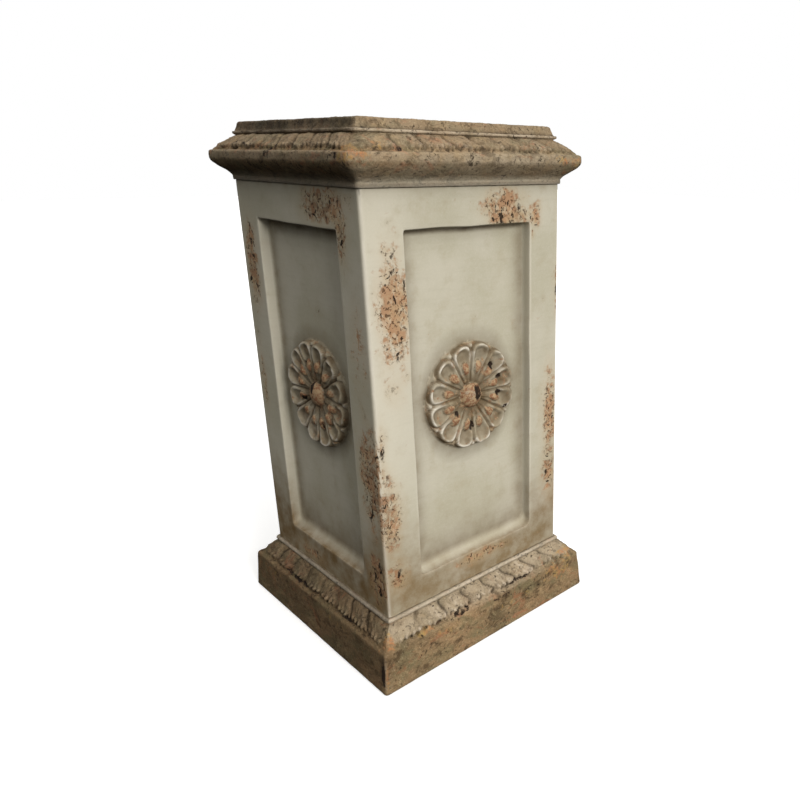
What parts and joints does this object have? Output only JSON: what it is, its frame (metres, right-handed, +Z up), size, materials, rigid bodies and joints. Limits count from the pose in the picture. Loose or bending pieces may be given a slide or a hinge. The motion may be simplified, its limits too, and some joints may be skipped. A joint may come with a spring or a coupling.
{
  "type": "resin column",
  "caption": "Square resin pedestal column with a moulded leaf-carved cap and plinth and a recessed panel with a rosette on each face, for holding a pot or statue.",
  "frame": {"origin": "middle of the underside, on the floor", "axes": "+Z up the column, -Y out of the front face, +X to the right seen from the front"},
  "size_m": [0.404, 0.404, 0.76],
  "materials": {
    "aged_resin": "painted pale sage and putty, glazed brown, chipped and worn"
  },
  "bodies": {
    "root": {"resin_column": "aged_resin"}
  },
  "joints": []
}
